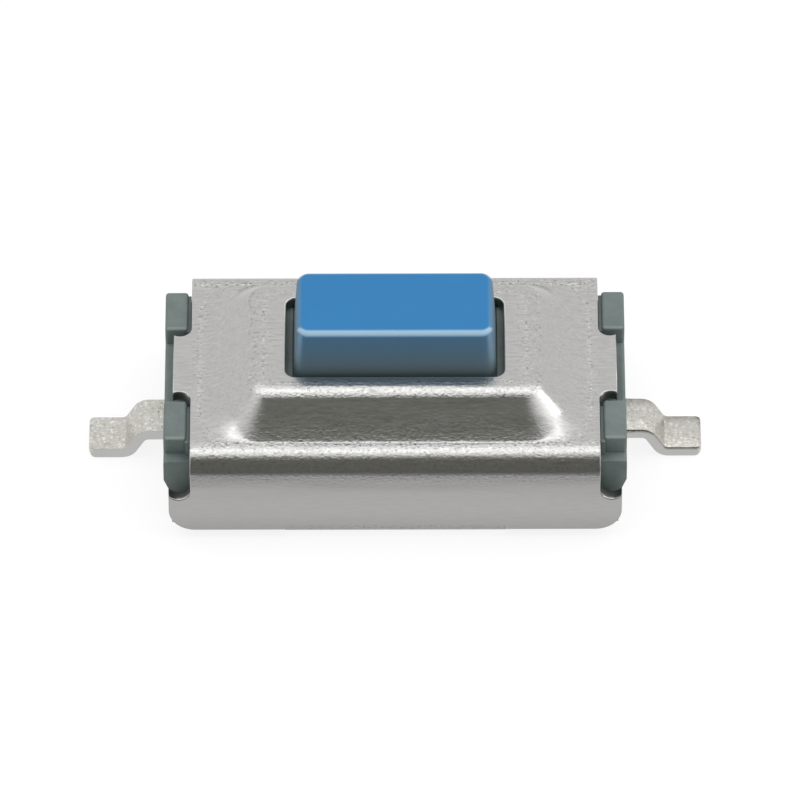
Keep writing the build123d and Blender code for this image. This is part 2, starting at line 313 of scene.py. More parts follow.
def rounded(half_x, half_y, radius, pieces=12):
    """Corner arcs of a rounded rectangle, anticlockwise."""
    x, y = half_x - radius, half_y - radius
    points = []
    for quarter, (sx, sy) in enumerate(((1, 1), (-1, 1), (-1, -1), (1, -1))):
        points += arc(sx * x, sy * y, radius, 90 * quarter, 90 * quarter + 90, pieces)
    return points


def blank_outline():
    """The flat blank's outline, anticlockwise, folded out along its Y axis."""
    notch_x = notch_side + notch_round
    plate_y = ear_half + notch_round
    wall_s = bend_end + wall_top - notch_foot - notch_round
    ear_angle = degrees(acos((ear_end - notch_x) / notch_round))
    horn_angle = degrees(acos((wall_end - notch_x) / notch_round))
    quarter = arc(notch_x, plate_y, notch_round, -ear_angle, -180, 14)
    quarter += arc(notch_x, wall_s, notch_round, 180, horn_angle, 18)
    quarter += arc(wall_end - wall_corner, blank_foot - wall_corner, wall_corner, 0, 90, 18)
    quarter += [(crimp_half + slit, blank_foot), (crimp_half + slit, fold_start)]
    quarter += [(crimp_half, fold_start), (crimp_half, blank_tip)]
    mirrored_x = [(-x, s) for x, s in reversed(quarter)]
    half_ring = quarter + mirrored_x
    return half_ring + [(-x, -s) for x, s in half_ring]


def inset(points, distance):
    """The closed outline moved inwards (to its left), with mitred corners."""
    ring = [Vector(p) for p in points]
    moved = []
    for i, here in enumerate(ring):
        into = (here - ring[i - 1]).normalized()
        out = (ring[(i + 1) % len(ring)] - here).normalized()
        n1, n2 = Vector((-into.y, into.x)), Vector((-out.y, out.x))
        moved.append(tuple(here + distance * (n1 + n2) / max(0.4, 1 + n1.dot(n2))))
    return moved


def distance_to(points, ring):
    """Distance of each point from a closed outline."""
    a = np.array(ring)
    b = np.roll(a, -1, axis=0)
    span = b - a
    offset = points[:, None, :] - a[None]
    t = np.clip((offset * span).sum(2) / np.maximum((span**2).sum(1), 1e-18), 0, 1)
    return np.sqrt(((offset - t[..., None] * span) ** 2).sum(2)).min(1)


def inside(points, ring):
    """True for each point inside a closed outline."""
    a = np.array(ring)
    b = np.roll(a, -1, axis=0)
    x, y = points[:, :1], points[:, 1:]
    crosses = (a[:, 1] > y) != (b[:, 1] > y)
    height = np.where(a[:, 1] == b[:, 1], 1e-12, b[:, 1] - a[:, 1])
    at = a[:, 0] + (y - a[:, 1]) / height * (b[:, 0] - a[:, 0])
    return (crosses & (x < at)).sum(1) % 2 == 1


tightest_corner = 0.004


def corner_radius(d):
    """Plan radius of the panel's corners at a height d up its slope: wide below, tight at the crest."""
    if d < 0:
        return slope_corner - d / slope_lean
    if d < rise:
        return slope_corner + (crest_corner - slope_corner) * d / rise
    return max(tightest_corner, crest_corner - (d - rise) / slope_lean)


def depth_inside(x, y):
    """Height up the panel's straight slope at a point of the blank, by the outline through it."""
    low, high = -2.0, slope_foot.y
    for _ in range(26):
        d = (low + high) / 2
        back, radius = d / slope_lean, corner_radius(d)
        qx, qy = abs(x) - slope_foot.x + back + radius, abs(y) - slope_foot.y + back + radius
        beyond = sqrt(max(qx, 0) ** 2 + max(qy, 0) ** 2) + min(max(qx, qy), 0) - radius
        low, high = (d, high) if beyond < 0 else (low, d)
    return (low + high) / 2


def panel_profile(d, root):
    """Height above the rim, grade and how far the sheet is worked, at d up the straight slope."""
    tangent = root * tan(pi / 8)
    if d <= -tangent:
        return 0.0, 0.0, foot_worked * exp((d + tangent) / grain_fade)
    if d < tangent * cos(pi / 4):
        run = d + tangent
        fall = sqrt(root**2 - run**2)
        return root - fall, run / fall, 2 * slope_worked + root_worked * exp(-run / root_fade)
    if d < rise - crest_tangent * cos(pi / 4):
        return d, 1.0, slope_worked
    if d < rise + crest_tangent:
        run = rise + crest_tangent - d
        fall = sqrt(crest**2 - run**2)
        return rise - crest + fall, run / fall, crest_worked / 2 + crest_worked * (run / crest) ** 2
    fading = ((d - rise - crest_tangent) / crest_fade) ** 2
    return rise, 0.0, 1.25 * crest_worked * exp(-fading)


def formed(x, s):
    """Where a point of the flat blank ends up, its outward normal and how far it is worked."""
    side = 1 if s >= 0 else -1
    a = abs(s)
    if a <= plate_half:
        step = 1e-4
        grade_x = (depth_inside(abs(x) + step, a) - depth_inside(abs(x) - step, a)) / (2 * step)
        grade_y = (depth_inside(abs(x), a + step) - depth_inside(abs(x), a - step)) / (2 * step)
        steep = max(1e-6, sqrt(grade_x**2 + grade_y**2))
        turned = min(1.0, 3 * (grade_x / steep) ** 2)
        spread = turned * turned * (3 - 2 * turned)
        room = (plate_half - slope_foot.y + slope_corner) / max(0.01, -grade_y / steep) - slope_corner
        foot = min(root + (corner_root - root) * spread, slope_lean * room / tan(pi / 8))
        height, slope, worked = panel_profile(depth_inside(x, a), foot)
        normal = Vector((-slope * grade_x * (1 if x >= 0 else -1), -slope * grade_y * side, 1))
        beside = edge_worked * exp((a - plate_half) / bend_fade)
        close = (bend_start_worked + bend_worked) * exp((a - plate_half) / root_fade)
        return Vector((x, a * side, shoulder + height)), normal.normalized(), max(worked, beside, close)
    if a <= bend_end:
        t = (a - plate_half) / bend
        place = Vector((x, side * (plate_half + bend * sin(t)), wall_top + bend * cos(t)))
        worked = bend_worked + bend_start_worked * exp(-t / bend_turn)
        ironed = 0.6 * bend_worked * sin(t) ** 3
        return place, Vector((0, side * sin(t), cos(t))), worked - ironed
    if a <= fold_start or abs(x) > crimp_half + slit / 2:
        worked = foot_worked * exp((bend_end - a) / grain_fade)
        return Vector((x, side * half_width, wall_top - (a - bend_end))), Vector((0, side, 0)), worked
    if a <= fold_end:
        t = (a - fold_start) / crimp_fold
        y = half_width - crimp_fold * (1 - cos(t))
        place = Vector((x, side * y, crimp_low + crimp_fold * (1 - sin(t))))
        return place, Vector((0, side * cos(t), -sin(t))), fold_worked
    y = half_width - crimp_fold - (a - fold_end)
    return Vector((x, side * y, crimp_low)), Vector((0, 0, -1)), slope_worked


def press_blank():
    """Triangulates the blank along its fold and slope lines, then forms it and gives it its sheet."""
    outline = blank_outline()
    window = list(reversed(rounded(window_half.x, window_half.y, window_corner, 10)))
    rings = [outline, window]
    for t in (0, 30, 60):
        back = rolled_edge * (1 - sin(radians(t))) + 1e-4
        rings += [inset(outline, back), inset(window, back)]
    rings += [inset(outline, rolled_edge + 0.008), inset(window, rolled_edge + 0.008)]
    hold = 0.01
    fades = (0.06, 0.15, 0.3)
    widest = corner_root * tan(pi / 8)
    depths = [-widest - fade for fade in (0.2, 0.06, hold)] + [widest * (i / 10 - 1) for i in range(18)]
    depths += [-root * tan(pi / 8) * k for k in (1, 0.5, 0, -0.5, -0.9)]
    depths += [0.2, rise - crest_tangent * cos(pi / 4) - hold]
    depths += [rise + crest_tangent - crest * sin(radians(a)) for a in range(45, -1, -5)]
    depths += [rise + crest_tangent + fade for fade in (hold, 0.06)]
    for d in depths:
        back = d / slope_lean
        rings.append(rounded(slope_foot.x - back, slope_foot.y - back, corner_radius(d), 20))
    points, edges = [], []
    for ring in rings:
        start = len(points)
        points += ring
        edges += [(start + i, start + (i + 1) % len(ring)) for i in range(len(ring))]
    across = [plate_half - hold, bend_end + hold, fold_start - hold, fold_end + hold]
    across += [plate_half + bend * pi / 2 * i / 18 for i in range(19)]
    across += [bend_end + fade for fade in fades]
    across += [fold_start + crimp_fold * pi / 2 * i / 10 for i in range(11)]
    far = 3.2
    lines = [(-far, far, s) for s in across]
    beside = slope_foot.x + 0.03
    for fade in fades:
        lines += [(x, x + 1, plate_half - fade) for x in (beside, -beside - 1)]
    for start, end, s in lines:
        for side in (-1, 1):
            points += [(start, side * s), (end, side * s)]
            edges.append((len(points) - 2, len(points) - 1))
    corner_at = slope_foot - Vector((slope_corner, slope_corner))
    for side in (-1, 1):
        points += [(side * corner_at.x, -plate_half), (side * corner_at.x, plate_half)]
        points += [(-far, side * corner_at.y), (far, side * corner_at.y)]
        edges += [(len(points) - 4, len(points) - 3), (len(points) - 2, len(points) - 1)]
    flat, _, faces, *_ = delaunay_2d_cdt([Vector(p) for p in points], edges, [], 0, 1e-6)
    flat = np.array([tuple(p) for p in flat])
    middles = np.array([flat[list(f)].mean(0) for f in faces])
    kept = inside(middles, outline) & ~inside(middles, window)
    faces = [list(f) for f, keep in zip(faces, kept) if keep]
    above = fold_start - 1e-9
    unslit = [p for p in outline if abs(abs(p[0]) - crimp_half) >= 2 * slit or abs(p[1]) < above]
    edge = np.minimum(distance_to(flat, unslit), distance_to(flat, window))
    used = sorted({i for f in faces for i in f})
    index = {old: new for new, old in enumerate(used)}
    # How far each point lies in the window's rim: its duller finish, painted paler as a highlight.
    rim_share = np.clip(1 - (distance_to(flat, window) - rolled_edge) / burnish, 0, 1)
    skins = ([], [])
    sides = ((skins[0], rolled_edge, 0, 1), (skins[1], burr_edge, sheet, -1))
    worked, burnish_and_rim_highlight = [], []
    for i in used:
        place, normal, share = formed(*flat[i])
        for skin, radius, depth, inwards in sides:
            short = max(0.0, radius - edge[i])
            roll = radius - sqrt(max(0.0, radius**2 - short**2))
            skin.append((place - normal * (depth + inwards * roll)) * mm)
        worked.append(share)
        burnish_and_rim_highlight.append(float(rim_share[i]))
    count = len(used)
    outer = [[index[i] for i in f] for f in faces]
    inner = [[index[i] + count for i in reversed(f)] for f in faces]
    edge_use = dict.fromkeys((a, b) for f in outer for a, b in zip(f, f[1:] + f[:1]))
    rim = sorted({v for a, b in edge_use if (b, a) not in edge_use for v in (a, b)})
    rim_index = {v: 2 * count + i for i, v in enumerate(rim)}
    deep = len(rim)
    lip = 0.25
    cut = [skins[0][v].lerp(skins[1][v], lip) for v in rim] + [skins[1][v] for v in rim]
    walls = []
    for a, b in edge_use:
        if (b, a) in edge_use:
            continue
        ra, rb = rim_index[a], rim_index[b]
        walls += [[b, a, ra, rb], [rb, ra, ra + deep, rb + deep]]
    inner = [[rim_index[v - count] + deep if v - count in rim_index else v for v in f] for f in inner]
    mesh = bpy.data.meshes.new("cover_sheet")
    mesh.from_pydata(skins[0] + skins[1] + cut, [], outer + inner + walls)
    finish = {
        "worked": worked + worked + [cut_worked] * (2 * deep),
        "sheared": [0.0] * (2 * count) + [1.0] * (2 * deep),
        "burnish_and_rim_highlight": burnish_and_rim_highlight + [0.0] * (count + 2 * deep),
    }
    for name, values in finish.items():
        mesh.attributes.new(name, "FLOAT", "POINT").data.foreach_set("value", values)
    tidy = bmesh.new()
    tidy.from_mesh(mesh)
    bmesh.ops.delete(tidy, geom=[v for v in tidy.verts if not v.link_faces], context="VERTS")
    tidy.to_mesh(mesh)
    tidy.free()
    return mesh


def smooth_piece(name, mesh, material, body, slot, *nodes):
    """Puts a finished mesh in the scene as a piece that rides on a body and stands for CAD nodes."""
    mesh.polygons.foreach_set("use_smooth", [True] * len(mesh.polygons))
    mesh.materials.clear()
    mesh.materials.append(material)
    piece = placed(name, mesh)
    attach(piece, body)
    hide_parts(*nodes)
    return piece


# Bright nickel over cold-rolled strip: a soft mirror with fine rolling streaks on its flats, which
# turn to a pebbled grain, with painted shade in its pits and painted glints, beside and over each drawn
# radius. Sheared edges show grey steel, and the punch leaves a duller rim round the window, painted
# paler as a highlight.
nickel, tree = new_material("nickel_plated_steel")
streak_length, streak_width, grain_size, wave_size = 0.22 * mm, 0.036 * mm, 0.036 * mm, 0.25 * mm
relief_height, wave_depth, streak_depth = 0.005 * mm, 0.9, 0.11
object_place = add(tree, "TexCoord").outputs["Object"]
noises = []
for length, width, detail, roughness in (
    (streak_length, streak_width, 3.0, 0.6),
    (grain_size / 0.75, grain_size, 3.0, 0.65),
    (wave_size / 0.15, wave_size, 1.0, 0.5),
):
    stretched = add(tree, "Mapping", {0: object_place, "Scale": (1 / length, 1 / width, 1 / width)})
    settings = {"Vector": stretched, "Scale": 1.0, "Detail": detail, "Roughness": roughness}
    noises.append(add(tree, "TexNoise", settings))
streaks, grain, waves = noises
worked = add(tree, "Attribute", attribute_name="worked").outputs["Fac"]
sheared = add(tree, "Attribute", attribute_name="sheared").outputs["Fac"]
burnish_and_rim_highlight = add(tree, "Attribute", attribute_name="burnish_and_rim_highlight").outputs["Fac"]
grain_depth = add(tree, "MapRange", {0: worked, "To Min": 0.02, "To Max": 1.4}, clamp=False)
place = add(tree, "SeparateXYZ", {0: object_place})
unironed = add(
    tree,
    "MapRange",
    {0: place.outputs["Z"], "From Min": wall_top * mm, "From Max": shoulder * mm, "To Min": 0.25},
)
streak_share = add(tree, "Math", {0: unironed, 1: streak_depth}, operation="MULTIPLY")
relief = 0.0
for noise, depth in ((waves, wave_depth), (streaks, streak_share), (grain, grain_depth)):
    centred = add(tree, "Math", {0: noise, 1: 0.5}, operation="SUBTRACT")
    relief = add(tree, "Math", {0: centred, 1: depth, 2: relief}, operation="MULTIPLY_ADD")
bump = add(tree, "Bump", {"Strength": 1.0, "Distance": relief_height, "Height": relief})

# Painted shade in pits lies where the grain is high, painted glints where it is low, both in step with
# how far it is worked.
marks = []
for start, end, most in ((0.56, 0.66, 0.6), (0.42, 0.32, 0.5)):
    spots = add(tree, "MapRange", {0: grain, "From Min": start, "From Max": end, "To Max": most})
    marks.append(add(tree, "Math", {0: spots, 1: worked}, operation="MULTIPLY"))
painted_pit_shade, painted_glints = marks
centred = add(tree, "Math", {0: streaks, 1: 0.5}, operation="SUBTRACT")
bright_lines = add(tree, "Math", {0: centred, 1: unironed, 2: 0.5}, operation="MULTIPLY_ADD")
colour = paint("#b5b4b2")
# The colour carries painted glints, painted shade in the pits and a painted highlight round the
# window's rim.
for share, shade in (
    (bright_lines, "#e4e3e1"),
    (painted_glints, "#fbfbf8"),
    (painted_pit_shade, "#7a7a75"),
    (sheared, "#858784"),
    (burnish_and_rim_highlight, "#dcdcd8"),
):
    colour = add(tree, "Mix", {"Factor": share, "A": colour, "B": paint(shade)}, data_type="RGBA")
cut_edge = add(tree, "Math", {0: sheared, 1: burnish_and_rim_highlight}, operation="MAXIMUM")
gloss = add(tree, "MapRange", {0: cut_edge, "To Min": 0.2, "To Max": 0.45})
nickel_shader = add(
    tree,
    "BsdfPrincipled",
    {"Base Color": colour, "Metallic": 1.0, "Roughness": gloss, "Normal": bump},
)
add(tree, "OutputMaterial", {0: nickel_shader})

smooth_piece("cover_sheet", press_blank(), nickel, "housing", "cover_sheet", "cover")

# ---------------------------------------------------------------------------------------------
# Base: one glass-filled liquid-crystal-polymer moulding, dark slate grey. Its end blocks close the
# cover's open ends and carry four posts that stand up through the cover's corner notches.
# ---------------------------------------------------------------------------------------------

base_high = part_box("base")[1] / mm


def solid(name, points, faces):
    """A closed mesh object with its faces turned outwards."""
    mesh = bpy.data.meshes.new(name)
    mesh.from_pydata(points, [], faces)
    shell = bmesh.new()
    shell.from_mesh(mesh)
    bmesh.ops.recalc_face_normals(shell, faces=shell.faces)
    shell.to_mesh(mesh)
    shell.free()
    return placed(name, mesh)


def prism(name, outline, axis, low, high):
    """A closed mesh object: an anticlockwise outline pushed from low to high along an axis."""
    count = len(outline)
    place = {
        "X": lambda a, b, c: (c, a, b),
        "Y": lambda a, b, c: (b, c, a),
        "Z": lambda a, b, c: (a, b, c),
    }[axis]
    points = [Vector(place(a, b, c)) * mm for c in (low, high) for a, b in outline]
    faces = [list(reversed(range(count))), list(range(count, 2 * count))]
    faces += [[i, (i + 1) % count, count + (i + 1) % count, count + i] for i in range(count)]
    return solid(name, points, faces)


def rectangle(a0, a1, b0, b1):
    """Corners of a rectangle between two values along each of its two directions, anticlockwise."""
    return [(a0, b0), (a1, b0), (a1, b1), (a0, b1)]


def circle(x, radius, sides):
    """Corners of a regular outline round a middle at x, anticlockwise."""
    return arc(x, 0, radius, 0, 360 - 360 / sides, sides - 1)


def baked(piece, name):
    """The piece as it looks with its modifiers, as a plain mesh. The piece itself is removed."""
    bpy.context.view_layer.update()
    graph = bpy.context.evaluated_depsgraph_get()
    mesh = bpy.data.meshes.new_from_object(piece.evaluated_get(graph))
    mesh.name = name
    bpy.data.objects.remove(piece)
    return mesh


def joined(piece, others, operation):
    """Unites the others with the piece, or cuts them out of it, one after another."""
    for other in others:
        change = piece.modifiers.new(operation, "BOOLEAN")
        change.operation = operation
        change.solver = "EXACT"
        change.object = other
    mesh = baked(piece, piece.name)
    for other in others:
        bpy.data.objects.remove(other)
    return placed(mesh.name, mesh)


def soften(piece, width, limit=30, segments=2):
    """Rounds every edge sharper than the limit, as a mould or a press leaves it."""
    edge = piece.modifiers.new("edge", "BEVEL")
    edge.width = width * mm
    edge.segments = segments
    edge.limit_method = "ANGLE"
    edge.angle_limit = radians(limit)
    edge.use_clamp_overlap = True
    edge.harden_normals = True
    piece.data.polygons.foreach_set("use_smooth", [True] * len(piece.data.polygons))
    return piece


core_half, core_side = 2.60, 1.61
ceiling = shoulder - sheet
end_half, end_face = 1.485, 1.51
end_top = 1.08
taper_low, taper_high, taper = 0.50, 0.76, 0.10
end_round = 0.045
post = Vector((0.30, 0.71, 0.30))
post_inset = 0.10
post_shift = 0.037
post_top = 1.353
pocket_half = Vector((1.337, 0.931))
pocket_floor, pocket_corner = 0.55, 0.12
rib_face, rib_depth = 1.325, 0.10
ledge_side, ledge_top = 2.662, 1.30
tower_end, tower_half, tower_chamfer = 1.711, 0.80, 0.06
crimp_gap = 0.04
pin_radius, pin_reach, pin_spacing = 0.25, 0.42, 2.55
strip_low, strip_high, strip_half = 0.32, 0.47, 0.30
slot_start, slot_end = 1.90, 3.20
mould_edge = 0.018

# How far a block reaches into the one it joins, and a cutter past a face that it opens.
overlap, buried = 0.02, 0.10


def set_out_in_quarters(name, size, spacing, floor_z, material):
    """Four equal blocks at the corners of a rectangle, as one mesh object, by geometry nodes."""
    group = bpy.data.node_groups.new(name, "GeometryNodeTree")
    sockets = {}
    for label, kind in (("Size", "Vector"), ("Spacing", "Vector"), ("Floor", "Float")):
        socket = group.interface.new_socket(label, in_out="INPUT", socket_type="NodeSocket" + kind)
        sockets[label] = socket.identifier
    group.interface.new_socket("Geometry", in_out="OUTPUT", socket_type="NodeSocketGeometry")
    given = add(group, "NodeGroupInput")
    spread = add(group, "SeparateXYZ", {0: given.outputs["Spacing"]})
    corners = add(
        group,
        "GeometryNodeMeshGrid",
        {
            "Size X": spread.outputs["X"],
            "Size Y": spread.outputs["Y"],
            "Vertices X": 2,
            "Vertices Y": 2,
        },
    )
    block = add(group, "GeometryNodeMeshCube", {"Size": given.outputs["Size"]})
    blocks = add(group, "GeometryNodeInstanceOnPoints", {"Points": corners, "Instance": block})
    lift = add(group, "CombineXYZ", {"Z": given.outputs["Floor"]})
    standing = add(group, "GeometryNodeTransform", {"Geometry": blocks, "Translation": lift})
    realized = add(group, "GeometryNodeRealizeInstances", {0: standing})
    finished = add(group, "GeometryNodeSetMaterial", {"Geometry": realized, "Material": material})
    add(group, "NodeGroupOutput", {0: finished})
    piece = placed(name, bpy.data.meshes.new(name))
    layout = piece.modifiers.new(name, "NODES")
    layout.node_group = group
    layout[sockets["Size"]] = [v * mm for v in size]
    layout[sockets["Spacing"]] = [v * mm for v in spacing]
    layout[sockets["Floor"]] = (floor_z + size[2] / 2) * mm
    return piece


# Glass-filled polymer off a fine-textured mould: matt, slightly mottled where the glass lies, with
# a painted highlight paler along its upper long edges.
slate, tree = new_material("glass_filled_polymer")
flow_size, spark_size = 0.30 * mm, 0.020 * mm
surroundings = add(tree, "TexCoord")
flow, spark = (
    add(
        tree,
        "TexNoise",
        {
            "Vector": surroundings.outputs["Object"],
            "Scale": 1 / size,
            "Detail": detail,
            "Roughness": roughness,
        },
    )
    for size, detail, roughness in ((flow_size, 6.0, 0.65), (spark_size, 2.0, 0.5))
)
facing = add(tree, "SeparateXYZ", {0: surroundings.outputs["Normal"]})
sideways = add(tree, "Math", {0: facing.outputs["Y"]}, operation="ABSOLUTE")
tilted = add(tree, "Math", {0: facing.outputs["Z"], 1: sideways}, operation="MULTIPLY")
# Painted highlight: paler where the normal leans between up and sideways, along the upper edges.
painted_edge_highlight = add(tree, "MapRange", {0: tilted, "From Min": 0.2, "From Max": 0.45, "To Max": 0.7})
colour = paint("#525e5c")
for share, shade in ((flow, "#82908d"), (painted_edge_highlight, "#97a3a1")):
    colour = add(tree, "Mix", {"Factor": share, "A": colour, "B": paint(shade)}, data_type="RGBA")
sheen = add(tree, "MapRange", {0: flow, "To Min": 0.42, "To Max": 0.56})
skin = add(tree, "Bump", {"Strength": 0.6, "Distance": 0.003 * mm, "Height": spark})
slate_shader = add(
    tree,
    "BsdfPrincipled",
    {"Base Color": colour, "Roughness": sheen, "IOR": 1.58, "Normal": skin},
)
add(tree, "OutputMaterial", {0: slate_shader})

chamfer = bend - sheet - 0.03
core_outline = [
    (-core_side, wall_foot),
    (core_side, wall_foot),
    (core_side, ceiling - chamfer),
    (core_side - chamfer, ceiling),
    (-core_side + chamfer, ceiling),
    (-core_side, ceiling - chamfer),
]
half_base = base_high.x
end_arc = arc(half_base - end_round, end_top - end_round, end_round, 0, 90, 6)
right_end = [(half_base - taper, 0), (half_base - taper, taper_low), (half_base, taper_high)] + end_arc
slab_outline = right_end + [(-x, z) for x, z in reversed(right_end)]
slab = prism("slab", [(z, x) for x, z in reversed(slab_outline)], "Y", -end_face, end_face)
core = prism("core", core_outline, "X", -core_half, core_half)
tower_outline = [
    (pocket_half.x - buried, ceiling - buried / 2),
    (tower_end, ceiling - buried / 2),
    (tower_end, base_high.z - tower_chamfer),
    (tower_end - tower_chamfer, base_high.z),
    (pocket_half.x - buried, base_high.z),
]
towers, ribs = [], []
for side in (-1, 1):
    outline = [(z, side * x) for x, z in tower_outline[::-side]]
    towers.append(prism("tower", outline, "Y", -tower_half, tower_half))
    across = sorted((side * rib_face, side * (pocket_half.x + overlap)))
    plan = rectangle(*across, -tower_half, tower_half)
    ribs.append(prism("rib", plan, "Z", base_high.z - rib_depth, base_high.z))
posts = set_out_in_quarters(
    "corner_posts",
    (post.x, post.y, post.z),
    (2 * half_base - post.x, 2 * (end_half - post_inset) - post.y, 0),
    post_top - post.z,
    slate,
)
soften(posts, end_round, segments=5)
posts_mesh = baked(posts, "posts")
posts_mesh.transform(Matrix.Translation((0, post_shift * mm, 0)))
posts = placed("posts", posts_mesh)
ledges = []
for side in (-1, 1):
    for y in (-1, 1):
        across = sorted((side * ledge_side, side * (half_base - post.x + overlap)))
        along = sorted((y * (end_half - post_inset - post.y + post_shift), y * (end_half - post_inset)))
        ledges.append(prism("ledge", rectangle(*across, *along), "Z", end_top - buried, ledge_top))
body = joined(slab, [core, *towers, posts, *ledges], "UNION")
pocket_top = base_high.z + 1
cutters = [prism("pocket", rounded(*pocket_half, pocket_corner), "Z", pocket_floor, pocket_top)]
for side in (-1, 1):
    across = sorted((side * (crimp_tip - crimp_gap), side * (half_width + 2 * buried)))
    reach = crimp_half + crimp_gap
    plan = rectangle(-reach, reach, *across)
    cutters.append(prism("crimp_pocket", plan, "Z", -buried, crimp_low + sheet))
for x in (-pin_spacing, 0.0, pin_spacing):
    cutters.append(prism("pin_hole", circle(x, pin_radius, 24), "Z", -buried, pin_reach))
for side in (-1, 1):
    along = sorted((side * slot_start, side * slot_end))
    slot = rectangle(*along, -strip_half, strip_half)
    cutters.append(prism("strip_slot", slot, "Z", strip_low, strip_high))
body = joined(body, cutters, "DIFFERENCE")
soften(body, mould_edge)
body = joined(placed("moulding", baked(body, "moulding")), ribs, "UNION")
smooth_piece("base_moulding", baked(body, "base_moulding"), slate, "housing", "base_moulding", "base")

# ---------------------------------------------------------------------------------------------
# Terminals: two strips of silver-plated brass, bent into gull-wing feet and moulded into the base.
# The left one ends in the contact under the dome's middle, the right one forks round it.
# ---------------------------------------------------------------------------------------------

foot_corner, riser_top, bend_middle = 3.49, 3.30, 0.15
foot_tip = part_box("fork_terminal")[1].x / mm
tip_round, corner_cut = 0.09, 0.07
contact_low, contact_top = strip_low + 0.05, 0.57
hollow_low, hollow_top = 0.20, strip_low + 0.10
pad_radius, contact_radius = 0.38, 0.25
wing_near, wing_far, wing_half = 2.40, 2.70, 0.45
arm_low, arm_high, arm_start = 0.48, 0.84, -1.351
bar_low, bar_high, lap = 1.531, 1.931, 0.1
rim_contact = Vector((0.34, 0.24, 0.15))
rim_contact_spacing = (2.08, 1.32, 0)
strip_edge, contact_edge = 0.016, 0.05

# Bright silver over a stamped strip: pale, a little warm, its broad faces pebbled and speckled with
# painted glints. The stamped sides are greyer, and their sharp upper edges show a thin line of brass.
silver, tree = new_material("silver_plated_brass")
pebble_size = 0.045 * mm
surroundings = add(tree, "TexCoord")
pebble = add(
    tree,
    "TexNoise",
    {
        "Vector": surroundings.outputs["Object"],
        "Scale": 1 / pebble_size,
        "Detail": 2.0,
        "Roughness": 0.6,
    },
)
dimple = add(tree, "Bump", {"Strength": 1.0, "Distance": 0.007 * mm, "Height": pebble})
# The palest stop paints glints on the pebbles; the other stops vary the tone.
tone_and_glint_stops = [(0.32, "#fffefa"), (0.42, "#dfddd6"), (0.58, "#d8d6cf"), (0.72, "#bfbdb4")]
tones_and_painted_glints = add(
    tree,
    "ValToRGB",
    {0: pebble},
    stops=[(position, paint(code)) for position, code in tone_and_glint_stops],
)
facing = add(tree, "SeparateXYZ", {0: surroundings.outputs["Normal"]})
sideways = add(tree, "Math", {0: facing.outputs["Y"]}, operation="ABSOLUTE")
stamped = add(tree, "MapRange", {0: sideways, "From Min": 0.75, "From Max": 0.97})
tilted = add(tree, "Math", {0: facing.outputs["Z"], 1: sideways}, operation="MULTIPLY")
worn = add(tree, "MapRange", {0: tilted, "From Min": 0.15, "From Max": 0.35, "To Max": 0.85})
colour = tones_and_painted_glints
for share, shade in ((stamped, "#cdcdcb"), (worn, "#6e6450")):
    colour = add(tree, "Mix", {"Factor": share, "A": colour, "B": paint(shade)}, data_type="RGBA")
silver_shader = add(
    tree,
    "BsdfPrincipled",
    {"Base Color": colour, "Metallic": 1.0, "Roughness": 0.24, "Normal": dimple},
)
add(tree, "OutputMaterial", {0: silver_shader})


def filleted(corners, radii, pieces=8):
    """An open path with its inner corners rounded."""
    path = [Vector(corners[0])]
    for before, here, after, radius in zip(corners, corners[1:], corners[2:], radii):
        here = Vector(here)
        back, on = (Vector(before) - here).normalized(), (Vector(after) - here).normalized()
        half_angle = acos(max(-1.0, min(1.0, back.dot(on)))) / 2
        centre = here + (back + on).normalized() * radius / sin(half_angle)
        first = here + back * radius / tan(half_angle) - centre
        turn = pi - 2 * half_angle
        sign = 1 if first.x * on.y - first.y * on.x > 0 else -1
        for i in range(pieces + 1):
            path.append(centre + Matrix.Rotation(sign * turn * i / pieces, 2) @ first)
    return path + [Vector(corners[-1])]


def lead(name, inner_end, side):
    """A bent strip from its foot's tip to its inner end, on the side given."""
    thick = strip_high - strip_low
    shift = thick / 2 * tan(atan(strip_low / (foot_corner - riser_top)) / 2)
    small, large = bend_middle - thick / 2, bend_middle + thick / 2
    upper_foot, upper_riser = foot_corner + shift, riser_top + shift
    lower_foot, lower_riser = foot_corner - shift, riser_top - shift
    upper = [(foot_tip, thick), (upper_foot, thick), (upper_riser, strip_high), (inner_end, strip_high)]
    lower = [(foot_tip, 0), (lower_foot, 0), (lower_riser, strip_low), (inner_end, strip_low)]
    upper, lower = filleted(upper, [small, large]), filleted(lower, [large, small])
    under_tip = arc(foot_tip - tip_round, tip_round, tip_round, 0, -90, 6)
    over_tip = [(foot_tip - tip_round * i / 6, thick) for i in range(7)]
    upper, lower = over_tip + upper[1:], under_tip + lower[1:]
    points = []
    for u, v in zip(upper, lower):
        for x, z in (u, v):
            short = max(0.0, corner_cut - (foot_tip - x))
            y = strip_half - corner_cut + sqrt(corner_cut**2 - short**2)
            points += [Vector((side * x, -y, z)) * mm, Vector((side * x, y, z)) * mm]
    ring = (0, 1, 3, 2)
    faces = [ring, [len(points) - 4 + i for i in ring]]
    for i in range(0, len(points) - 4, 4):
        faces += [(i + a, i + b, i + b + 4, i + a + 4) for a, b in ((0, 1), (2, 3), (0, 2), (1, 3))]
    return solid(name, points, faces)


def wing(side):
    """The lugs that lock a strip in the moulding."""
    across = sorted((side * wing_near, side * wing_far))
    return prism("wing", rectangle(*across, -wing_half, wing_half), "Z", strip_low, strip_high)


pad = prism("pad", circle(0, pad_radius, 48), "Z", strip_low, strip_high)
button_contact = circle(0, contact_radius, 36)
contact = prism("contact", button_contact, "Z", contact_low, contact_top)
hollow = prism("hollow", button_contact, "Z", hollow_low, hollow_top)
centre = joined(lead("centre_strip", 0.0, -1), [pad, contact, wing(-1)], "UNION")
centre = joined(centre, [hollow], "DIFFERENCE")
soften(centre, strip_edge)
centre_mesh = baked(centre, "centre_strip")
smooth_piece("centre_strip", centre_mesh, silver, "housing", "terminal_strip", "centre_terminal")

